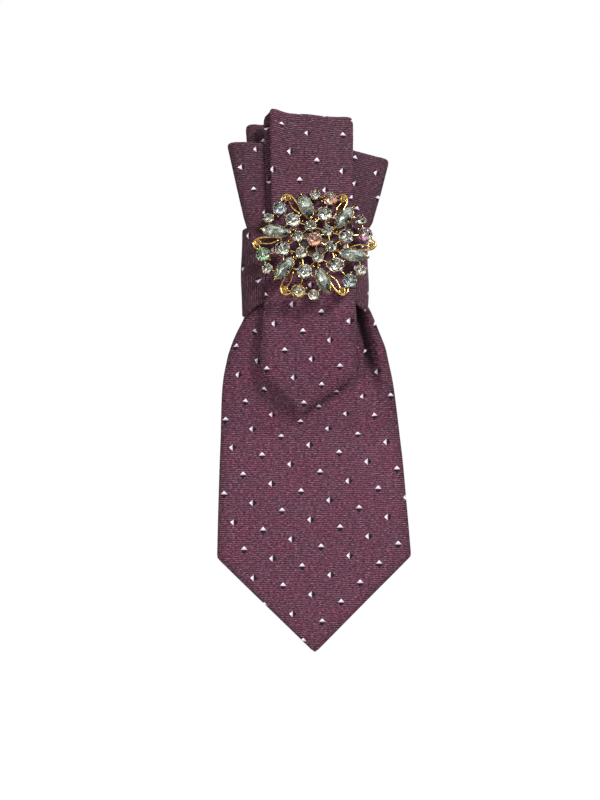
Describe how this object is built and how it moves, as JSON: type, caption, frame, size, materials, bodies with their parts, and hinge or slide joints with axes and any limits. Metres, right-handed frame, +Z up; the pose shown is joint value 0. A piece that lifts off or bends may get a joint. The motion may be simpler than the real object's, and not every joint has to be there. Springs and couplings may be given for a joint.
{
  "type": "folded necktie brooch",
  "caption": "Brooch of a folded, banded necktie under a domed openwork rhinestone ornament, with a hinged bar pin and a turning safety catch behind.",
  "frame": {"origin": "on the axis of the bar pin's stem, half way along the bar", "axes": "+Z up as worn, the front faces -Y, +X is on the right seen from the front"},
  "size_m": [0.0895, 0.0368, 0.2453],
  "materials": {
    "tie_silk": "woven jacquard silk, plum with small two-tone diamonds",
    "interlining_wool": "brushed wool interlining",
    "tipping_satin": "plum satin lining",
    "sewing_thread": "twisted polyester thread",
    "felt": "pressed felt",
    "glue": "set hot-melt glue",
    "gold_plated_casting": "polished gold plate over a zinc casting",
    "clear_glass": "clear foil-backed rhinestone",
    "smoky_clear_glass": "clear grey foil-backed marquise",
    "aurora_glass": "aurora-coated rhinestone",
    "pink_gold_glass": "pink and gold aurora-coated rhinestone",
    "champagne_glass": "champagne rhinestone",
    "nickel_plated_steel": "nickel plate",
    "spring_steel": "drawn and nickel-plated wire"
  },
  "bodies": {
    "brooch": {"aurora_stone_1": "aurora_glass", "aurora_stone_2": "aurora_glass", "aurora_stone_3": "aurora_glass", "aurora_stone_4": "aurora_glass", "aurora_stone_5": "aurora_glass", "aurora_stone_6": "aurora_glass", "band_seam_stitches": "sewing_thread", "bar_pin_base": "nickel_plated_steel", "bar_pin_stitches": "sewing_thread", "catch_body": "nickel_plated_steel", "center_stone": "pink_gold_glass", "champagne_stones": "champagne_glass", "felt_backing": "felt", "hinge_rivet": "nickel_plated_steel", "inner_round_stone_1": "clear_glass", "inner_round_stone_2": "clear_glass", "inner_round_stone_3": "clear_glass", "inner_round_stone_4": "clear_glass", "inner_round_stone_5": "clear_glass", "inner_round_stone_6": "clear_glass", "large_round_stone_1": "clear_glass", "large_round_stone_2": "clear_glass", "large_round_stone_3": "clear_glass", "large_round_stone_4": "clear_glass", "large_round_stone_5": "clear_glass", "large_round_stone_6": "clear_glass", "left_loop_interlining": "interlining_wool", "left_loop_shell": "tie_silk", "marquise_stone_1": "smoky_clear_glass", "marquise_stone_2": "smoky_clear_glass", "marquise_stone_3": "smoky_clear_glass", "marquise_stone_4": "smoky_clear_glass", "marquise_stone_5": "smoky_clear_glass", "marquise_stone_6": "smoky_clear_glass", "narrow_blade_bar_tack": "sewing_thread", "narrow_blade_interlining": "interlining_wool", "narrow_blade_shell": "tie_silk", "narrow_blade_tipping": "tipping_satin", "ornament_frame": "gold_plated_casting", "ornament_glue_pad": "glue", "outer_round_stone_1": "clear_glass", "outer_round_stone_2": "clear_glass", "outer_round_stone_3": "clear_glass", "outer_round_stone_4": "clear_glass", "outer_round_stone_5": "clear_glass", "outer_round_stone_6": "clear_glass", "rear_loop_interlining": "interlining_wool", "rear_loop_shell": "tie_silk", "right_loop_interlining": "interlining_wool", "right_loop_shell": "tie_silk", "waist_band_interlining": "interlining_wool", "waist_band_shell": "tie_silk", "wide_blade_bar_tack": "sewing_thread", "wide_blade_interlining": "interlining_wool", "wide_blade_shell": "tie_silk", "wide_blade_tipping": "tipping_satin"},
    "pin_stem": {"pin_stem": "spring_steel"},
    "catch_sleeve": {"catch_sleeve": "nickel_plated_steel"}
  },
  "joints": [
    {"name": "pin_hinge", "type": "hinge", "parent": "brooch", "child": "pin_stem", "pos_m": [0.013, 0, 0], "axis": [0, 0, -1], "range_deg": [0, 80]},
    {"name": "catch_turn", "type": "hinge", "parent": "brooch", "child": "catch_sleeve", "pos_m": [-0.01305, 0, 0], "axis": [1, 0, 0], "range_deg": [0, 150]}
  ]
}
